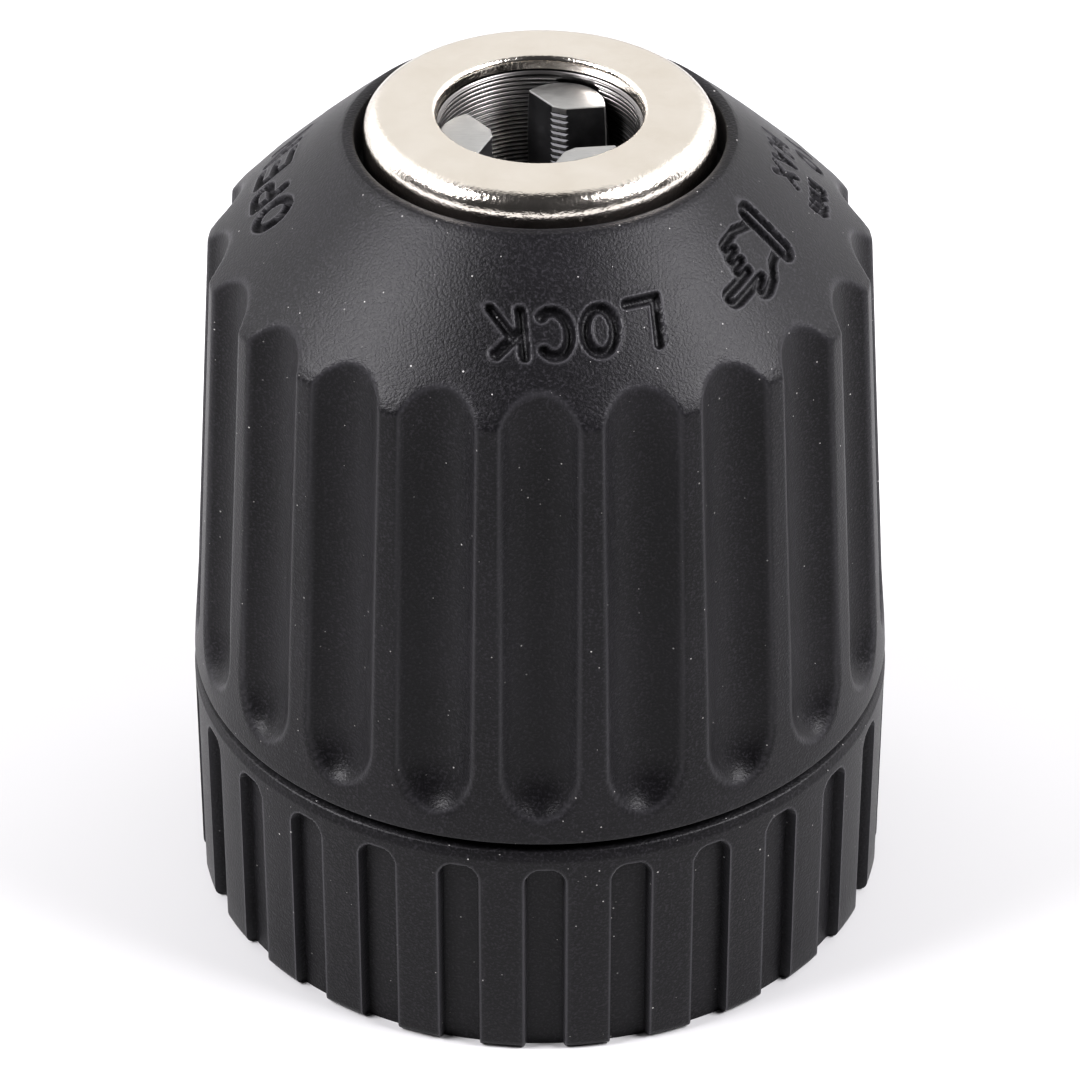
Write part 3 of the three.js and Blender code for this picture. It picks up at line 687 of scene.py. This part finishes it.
def cutFlutes(bm):
    radius, azimuth, height = placesOf(bm)
    azimuth, offset = shiftColumns(azimuth, frontSleeve["flutes"], -math.pi / 2, frontSleeve)
    cutter, depth, end = (frontSleeve[key] for key in ("cutterRadius", "fluteDepth", "fluteEnd"))
    middle = sideRadius(np.maximum(height, end)) + cutter - depth
    below = np.maximum(end - height, 0) / frontSleeve["endStretch"]
    reach = cutter**2 - below**2 - (middle * np.sin(offset)) ** 2
    floor = middle * np.cos(offset) - np.sqrt(np.maximum(reach, 0))
    outside = radius > frontSleeve["wallOutside"]
    over = np.where(outside, radius - floor, -9)
    cut = (over + np.sqrt(over**2 + frontSleeve["edge"] ** 2)) / 2
    cut = np.where(outside, cut, 0)
    movePlaces(bm, radius - cut, azimuth, height)
    # evens out the steps where an edge crosses the columns
    atRim = (np.abs(over) < frontSleeve["rimReach"]) & (height < frontSleeve["rimTop"])
    rims = [v for v, chosen in zip(bm.verts, atRim) if chosen]
    for i in range(frontSleeve["rimSmoothing"]):
        bmesh.ops.smooth_vert(bm, verts=rims, factor=0.5, use_axis_x=True, use_axis_y=True, use_axis_z=True)
    # a painted highlight band along each flute edge, for the light line the edge catches
    return frontSleeve["paintedHighlight"] * np.exp(-((over / frontSleeve["paintedHighlightWidth"]) ** 2)) * outside


def refineMarks(bm):  # smaller faces under the marks
    def marked(face):
        c = face.calc_center_median() / mm
        radius, azimuth = math.hypot(c.x, c.y), math.atan2(c.y, c.x)
        if c.z < marks["coneFrom"] or radius < marks["coneInside"] or face.normal.z < 0.5:
            return False
        for mark in engravings:
            u, v = markPlace(radius, azimuth, mark)
            reach = [max(abs(p[i]) for s in mark[3] for p in s) + marks["margin"] for i in (0, 1)]
            if abs(u) < reach[0] and abs(v) < reach[1]:
                return True
        return False

    def along(edge):  # an edge that runs up the cone
        return abs(edge.verts[0].co.z - edge.verts[1].co.z) > 1e-6

    for upward, cuts in ((True, marks["cutsUp"]), (False, marks["cutsRound"])):
        faces = [f for f in bm.faces if marked(f)]
        edges = list(dict.fromkeys(e for f in faces for e in f.edges if along(e) == upward))
        bmesh.ops.subdivide_edges(bm, edges=edges, cuts=cuts, use_grid_fill=False)


def engrave(bm):
    radius, azimuth, height = placesOf(bm)
    width, lip = marks["strokeWidth"], marks["lipWidth"]
    sunk = np.zeros(radius.shape)
    raised = np.zeros(radius.shape)
    onCone = (height > marks["coneFrom"]) & (radius > marks["coneInside"])
    for mark in engravings:
        u, v = markPlace(radius, azimuth, mark)
        far = strokeDistance(u, v, mark[3])
        half = width * mark[2] / 2
        bowl = np.sqrt(np.clip(1 - (far / half) ** 2, 0, 1)) * marks["depth"] * mark[2]
        sunk = np.maximum(sunk, np.where(onCone, bowl, 0))
        ridge = np.exp(-(((far - half - lip / 2) / (lip / 2)) ** 2))
        raised = np.maximum(raised, np.where(onCone, ridge, 0))
    push = (sunk - raised * marks["lip"]) / math.sqrt(2)
    movePlaces(bm, radius - push, azimuth, height - push)
    # the lip's share of painted highlight, kept off the sunk strokes
    return raised * (sunk < 0.02)


def buildFrontSleeve():
    bm = spun(frontOutline(), frontSleeve["flutes"], frontSleeve["columnsPerFlute"])
    edges = cutFlutes(bm)
    addAttribute(bm, "highlightPaint", edges)
    refineMarks(bm)
    rims = engrave(bm)
    # the raised lips round the marks get the painted highlight too
    layer = bm.verts.layers.float["highlightPaint"]
    for v, rim in zip(bm.verts, rims):
        v[layer] = max(v[layer], marks["paintedLipHighlight"] * rim)
    return finishPiece(
        "frontSleeve", bm, ["frontPlastic"], "sleeve", ["front_sleeve"],
        frontSleeve["sharp"],
    )


rearSleeve = {
    "grooves": 26, "columnsPerGroove": 28, "firstGroove": 0.8,  # degrees right of the front
    "radius": 19.0, "top": 13.36, "grooveHalf": 1.05, "grooveTop": 12.2, "grooveCorner": 0.92,
    "grooveDepth": 0.6, "wall": 0.1, "wallOutside": 17.5,
    # where, how wide and beyond which radius a painted highlight runs along the groove edges
    "columnShares": (0, 0.3, 0.72, 1), "columnDegrees": (0, 2.55, 3.75),
    "paintedHighlightAt": 0.08, "paintedHighlightWidth": 0.07, "paintedHighlightOutside": 18.9, "sharp": 50,
    "stepsChangeAt": (10.9, 12.5),
}
rearSteps = {"hidden": 30.0, "grooveTop": 0.08, "groove": 1.8, "rim": 0.3}  # longest steps in mm


def rearOutline():
    top = rearSleeve["top"]
    corners = [
        (10.6, 0, 0.3),
        (11.4, 0, 0),
        (17.9, 0, 0),
        (19.0, 0, 0.55),
        (19.0, 12.85, 0),
        (18.93, 12.95, 0),
        (18.93, top, 0.12),
        (15.56, top, 0.1),
        (15.56, 9.2, 0),
        (17.1, 7.6, 0),
        (17.1, 1.7, 0.4),
        (10.6, 1.7, 0.2),
    ]

    topLow, topHigh = rearSleeve["stepsChangeAt"]

    def spacing(p):
        if p.x < 18.6:
            return rearSteps["hidden"]
        if topLow < p.y < topHigh:
            return rearSteps["grooveTop"]
        return rearSteps["groove" if p.y < topLow else "rim"]

    return divided(cutAt(softened(corners), rearSleeve["stepsChangeAt"]), spacing)


def cutGrooves(bm):
    radius, azimuth, height = placesOf(bm)
    aside = math.radians(rearSleeve["firstGroove"])
    azimuth, offset = shiftColumns(azimuth + aside, rearSleeve["grooves"], aside - math.pi / 2, rearSleeve)
    corner, wide = rearSleeve["grooveCorner"], rearSleeve["grooveHalf"]
    across = np.abs(offset) * radius - (wide - corner)
    upward = height - (rearSleeve["grooveTop"] - corner)
    far = np.hypot(np.maximum(across, 0), np.maximum(upward, 0))
    far = far + np.minimum(np.maximum(across, upward), 0) - corner  # distance from the groove's edge
    inside = np.clip(0.5 - far / rearSleeve["wall"], 0, 1)
    inside = inside * inside * (3 - 2 * inside)
    floor = rearSleeve["radius"] - inside * rearSleeve["grooveDepth"]
    outside = radius > rearSleeve["wallOutside"]
    moved = np.where(outside, np.minimum(radius, floor), radius)
    movePlaces(bm, moved, azimuth, height)
    # a painted highlight line along each groove edge
    near = (far - rearSleeve["paintedHighlightAt"]) / rearSleeve["paintedHighlightWidth"]
    return np.exp(-(near**2)) * (radius > rearSleeve["paintedHighlightOutside"])


def buildRearSleeve():
    bm = spun(rearOutline(), rearSleeve["grooves"], rearSleeve["columnsPerGroove"])
    addAttribute(bm, "highlightPaint", cutGrooves(bm))
    return finishPiece(
        "rearSleeve", bm, ["rearPlastic"], "chuck", ["rear_sleeve"],
        rearSleeve["sharp"],
    )


noseCap = {
    "top": 47.0, "bottom": 43.45, "lipUnder": 46.25, "outer": 9.12, "bore": 5.34, "inside": 7.75,
    "corner": 1.2, "boreCorner": 0.34, "roundSteps": 10, "step": 0.8,
}


def buildNoseCap():
    top, outer, bore = noseCap["top"], noseCap["outer"], noseCap["bore"]
    points = softened([
        (noseCap["inside"], noseCap["bottom"], 0.05),
        (outer, noseCap["bottom"], 0.15),
        (outer, top, noseCap["corner"]),
        (bore, top, noseCap["boreCorner"]),
        (bore, noseCap["lipUnder"], 0.05),
        (noseCap["inside"], noseCap["lipUnder"], 0.2),
    ], noseCap["roundSteps"])
    bm = spun(divided(points, lambda p: noseCap["step"]), 12, 16)
    return finishPiece("noseCap", bm, ["nickel"], "chuck", ["nose_cap"])


jaw = {
    "first": 67, "slant": 15, "sides": 40, "radius": 2.25, "guide": 2.35, "tip": 45.7, "axisAtTip": 2.8671,
    "tailAlong": -32.57, "tailBevel": 0.4, "overshoot": 3, "flat": 0.72, "flank": 60, "edge": 2.5,
    "edgeBevel": 0.06, "bevelFrom": 30, "bevelSharperThan": 25,
    "toothPitch": 2.5, "toothDepth": 1.34, "toothFloor": 1.0, "toothMouth": 1.84, "lead": 2.1,
    "lowestTooth": -31.57, "highestTooth": -3.05, "outerAtTip": 5.3, "sharp": 14,
    "serrationPitch": 0.36, "serrationDepth": 0.09, "serrationStart": 0.45, "serrationEnd": 37.6,
    "serrationStretch": (1, 12, 1.25, 1),
}


def jawLine(along, lift):  # a point on the jaw's outer line, and above it, in the jaw's own plane
    tilt = math.radians(jaw["slant"])
    return Vector((
        jaw["outerAtTip"] - math.sin(tilt) * along + math.cos(tilt) * lift, 0,
        jaw["tip"] + math.cos(tilt) * along + math.sin(tilt) * lift,
    ))


def jawBlank():
    tilt = math.radians(jaw["slant"])
    length = jaw["overshoot"] - jaw["tailAlong"]
    radius = jaw["radius"] * mm
    bm = bmesh.new()
    bmesh.ops.create_cone(
        bm, cap_ends=True, segments=jaw["sides"], radius1=radius, radius2=radius, depth=length * mm,
    )
    rim = [e for e in bm.edges if all(v.co.z < 0 for v in e.verts)]
    bmesh.ops.bevel(
        bm, geom=rim, offset=jaw["tailBevel"] * mm, segments=3, profile=0.5, affect="EDGES", material=-1,
    )
    halfway = jawLine((jaw["overshoot"] + jaw["tailAlong"]) / 2, -jaw["guide"])
    place = Matrix.Translation(halfway * mm) @ Matrix.Rotation(-tilt, 4, "Y")
    bmesh.ops.transform(bm, matrix=place, verts=bm.verts)
    return bm


def sliceOff(bm, point, normal, key):  # cuts away what lies along the normal and closes the cut
    geom = bm.verts[:] + bm.edges[:] + bm.faces[:]
    cut = bmesh.ops.bisect_plane(
        bm, geom=geom, plane_co=point * mm, plane_no=normal, clear_outer=True, dist=1e-8,
    )
    rim = [e for e in cut["geom_cut"] if isinstance(e, bmesh.types.BMEdge)]
    filled = bmesh.ops.holes_fill(bm, edges=rim, sides=0)
    for face in filled["faces"]:
        face.material_index = key


def addToothGap(tool, along):
    tilt, lead = math.radians(jaw["slant"]), math.radians(jaw["lead"])
    depth, outside = jaw["toothDepth"], 1.0
    flare = (jaw["toothMouth"] - jaw["toothFloor"]) / depth
    mouth = jaw["toothFloor"] + flare * (depth + outside)
    verts = bmesh.ops.create_cube(tool, size=1)["verts"]
    for v in verts:
        wide = mouth if v.co.x > 0 else jaw["toothFloor"]
        v.co = (outside if v.co.x > 0 else -depth, v.co.y * 3 * jaw["radius"], v.co.z * wide)
    place = Matrix.Translation(jawLine(along, 0)) @ Matrix.Rotation(-tilt, 4, "Y")
    place = place @ Matrix.Rotation(lead, 4, "X")
    bmesh.ops.transform(tool, matrix=Matrix.Scale(mm, 4) @ place, verts=verts)


def addSerration(tool, height):
    verts = bmesh.ops.create_cube(tool, size=math.sqrt(2) * jaw["serrationDepth"])["verts"]
    stretch = Matrix.Diagonal(jaw["serrationStretch"])
    place = Matrix.Translation((jaw["edge"], 0, height)) @ stretch @ Matrix.Rotation(math.radians(45), 4, "Y")
    bmesh.ops.transform(tool, matrix=Matrix.Scale(mm, 4) @ place, verts=verts)


def buildJaw(index):
    bm = jawBlank()
    flank = math.radians(jaw["flank"])
    half = jaw["flat"] / 2
    for side in (-1, 1):
        away = Vector((-math.sin(flank), side * math.cos(flank), 0))
        sliceOff(bm, Vector((jaw["edge"], side * half, 0)), away, 0)
    sliceOff(bm, Vector((jaw["edge"], 0, 0)), Vector((-1, 0, 0)), 1)
    sliceOff(bm, Vector((0, 0, jaw["tip"])), Vector((0, 0, 1)), 1)
    bmesh.ops.recalc_face_normals(bm, faces=bm.faces)
    sharper = math.radians(jaw["bevelSharperThan"])
    upper = [e for e in bm.edges if e.verts[0].co.z > jaw["bevelFrom"] * mm]
    corners = [e for e in upper if e.calc_face_angle(0) > sharper]
    bmesh.ops.bevel(
        bm, geom=corners, offset=jaw["edgeBevel"] * mm, segments=2, profile=0.5, affect="EDGES", material=1,
    )
    tool = bmesh.new()
    shift = jaw["toothPitch"] * (jaw["first"] / 360 + index / 3) % jaw["toothPitch"]
    along = jaw["lowestTooth"] + shift
    while along < jaw["highestTooth"]:
        addToothGap(tool, along)
        along += jaw["toothPitch"]
    height = jaw["tip"] - jaw["serrationStart"]
    while height > jaw["serrationEnd"]:
        addSerration(tool, height)
        height -= jaw["serrationPitch"]
    bmesh.ops.recalc_face_normals(tool, faces=tool.faces)
    turn = Matrix.Rotation(math.radians(jaw["first"] + 120 * index), 4, "Z")
    for each in (bm, tool):
        bmesh.ops.transform(each, matrix=turn, verts=each.verts)
    name, node = "jaw%d" % (index + 1), "jaw_%d" % (index + 1)
    piece = finishPiece(name, bm, ["oxide", "ground"], node, [node], jaw["sharp"])
    cutBy(piece, tool, jaw["sharp"])
    return piece


def cutBy(piece, tool, sharp=38):  # cuts a bmesh out of a piece and keeps the result
    mesh = bpy.data.meshes.new("tool")
    tool.to_mesh(mesh)
    tool.free()
    for material in piece.data.materials[:1]:
        mesh.materials.append(material)
    cutter = bpy.data.objects.new("tool", mesh)
    bpy.context.scene.collection.objects.link(cutter)
    modifier = piece.modifiers.new("cut", "BOOLEAN")
    modifier.operation = "DIFFERENCE"
    modifier.solver = "MANIFOLD"
    modifier.object = cutter
    seen = piece.evaluated_get(bpy.context.evaluated_depsgraph_get())
    mesh = bpy.data.meshes.new_from_object(seen)
    piece.modifiers.clear()
    piece.data = mesh
    mesh.set_sharp_from_angle(angle=math.radians(sharp))
    bpy.data.objects.remove(cutter)


body = {
    "bore": 5.15, "boreTop": 46.2, "grooved": 26.0,
    "firstGroove": 0.3, "groovePitch": 0.26, "grooveDepth": 0.07,
    "guideRadius": 2.42, "guideLength": 120, "guideSides": 48,
    "socket": 4.25, "threadTop": 15.0, "threadBottom": 1.2, "threadPitch": 1.058, "threadDepth": 0.45,
}


def bodyOutline():  # from the socket's mouth up the outside, then down the bore
    bore, top, pitch = body["bore"], body["boreTop"], body["groovePitch"]
    grooves = []
    z = top - body["firstGroove"]
    while z > body["grooved"]:
        grooves += [(bore + body["grooveDepth"], z), (bore, z - pitch * 0.4), (bore, z - pitch * 0.6)]
        z -= pitch
    socket = body["socket"]
    thread = []
    z = body["threadTop"]
    while z > body["threadBottom"]:
        thread += [(socket + body["threadDepth"], z), (socket, z - body["threadPitch"] / 2)]
        z -= body["threadPitch"]
    return [
        (5.05, 0), (9.5, 0), (9.8, 0.3), (9.8, 9.2), (15.2, 9.2), (15.5, 9.5), (15.5, 13.0),
        (15.05, 13.0), (15.05, 21.9), (14.75, 21.9), (14.75, 21.4), (11.45, 21.4), (11.45, 25.16),
        (9.5, 25.16), (7.5, 32.9), (11.0, 32.9), (11.3, 33.2), (11.3, 38.4), (8.1, 41.6),
        (8.1, 43.4), (7.7, 43.4), (7.7, top), (bore + 0.15, top), (bore, top - 0.12),
    ] + grooves + [(bore, 20.5), (3.1, 19.3), (3.1, 16.6), (socket, 16.0)] + thread


def buildBody():
    bm = spun([Vector(p) for p in bodyOutline()], 12, 12)
    piece = finishPiece("chuckBody", bm, ["turned"], "chuck", ["chuck_body"])
    tilt = math.radians(jaw["slant"])
    radius = body["guideRadius"] * mm
    for i in range(3):
        turn = Matrix.Rotation(math.radians(jaw["first"] + 120 * i), 4, "Z")
        tip = Vector((jaw["axisAtTip"], 0, jaw["tip"])) * mm
        place = turn @ Matrix.Translation(tip) @ Matrix.Rotation(-tilt, 4, "Y")
        drill = bmesh.new()
        bmesh.ops.create_cone(
            drill, cap_ends=True, segments=body["guideSides"], radius1=radius, radius2=radius,
            depth=body["guideLength"] * mm, matrix=place,
        )
        cutBy(piece, drill)
    co = np.zeros(len(piece.data.vertices) * 3)
    piece.data.vertices.foreach_get("co", co)
    x, y, z = co.reshape(-1, 3).T / mm
    # painted highlight on the bore's ridges: these points get the pale ridge colour
    ridge = np.abs(np.hypot(x, y) - body["bore"]) < 0.01
    ridge = ridge & (z > body["grooved"]) & (z < body["boreTop"] - 0.2)
    highlightPaint = piece.data.attributes.new("highlightPaint", "FLOAT", "POINT")
    highlightPaint.data.foreach_set("value", ridge.astype(np.float32))
    return piece


bearing = {
    "track": 13.41, "trackHalf": 0.62, "groove": 0.22, "trackSteps": 4, "ballRadius": 1.1, "balls": 15,
    "rear": (12.11, 14.71, 21.4, 22.3), "front": (11.63, 14.71, 24.54, 25.44),
}


def buildRace(name, node, ownBody, facesUp):
    inner, outer, low, high = bearing["rear" if facesUp else "front"]
    face, sink = (high, -bearing["groove"]) if facesUp else (low, bearing["groove"])
    steps = bearing["trackSteps"]
    shares = [1 - i / steps for i in range(2 * steps + 1)]  # from the track's outer edge to its inner one
    track = [(bearing["track"] + bearing["trackHalf"] * k, face + sink * (1 - k**2)) for k in shares]
    flat = [Vector((inner, low)), Vector((outer, low)), Vector((outer, high)), Vector((inner, high))]
    points = [Vector(p) for p in track]
    outline = flat[:3] + points + flat[3:] if facesUp else flat[:1] + points[::-1] + flat[1:]
    bm = spun(outline, 12, 8)
    return finishPiece(name, bm, ["ground"], ownBody, [node])


def buildBall(index):
    bm = bmesh.new()
    bmesh.ops.create_icosphere(bm, subdivisions=4, radius=bearing["ballRadius"] * mm)
    node = "ball_%02d" % (index + 1)
    low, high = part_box(node)
    bmesh.ops.translate(bm, vec=(Vector(low) + Vector(high)) / 2, verts=bm.verts)
    return finishPiece("ball%02d" % (index + 1), bm, ["ground"], "cage", [node])


def recoat(node, key):  # a better finish on a solid that stays
    piece = bpy.data.objects[node]
    for slot in piece.material_slots:
        slot.material = finishes[key]


buildFrontSleeve()
buildRearSleeve()
buildNoseCap()
for i in range(3):
    buildJaw(i)
buildBody()
buildRace("rearRace", "rear_race", "chuck", True)
buildRace("frontRace", "front_race", "sleeve", False)
for i in range(bearing["balls"]):
    buildBall(i)
for node in ("nut_half_1", "nut_half_2", "nut_band", "ball_cage"):
    recoat(node, "oxide")
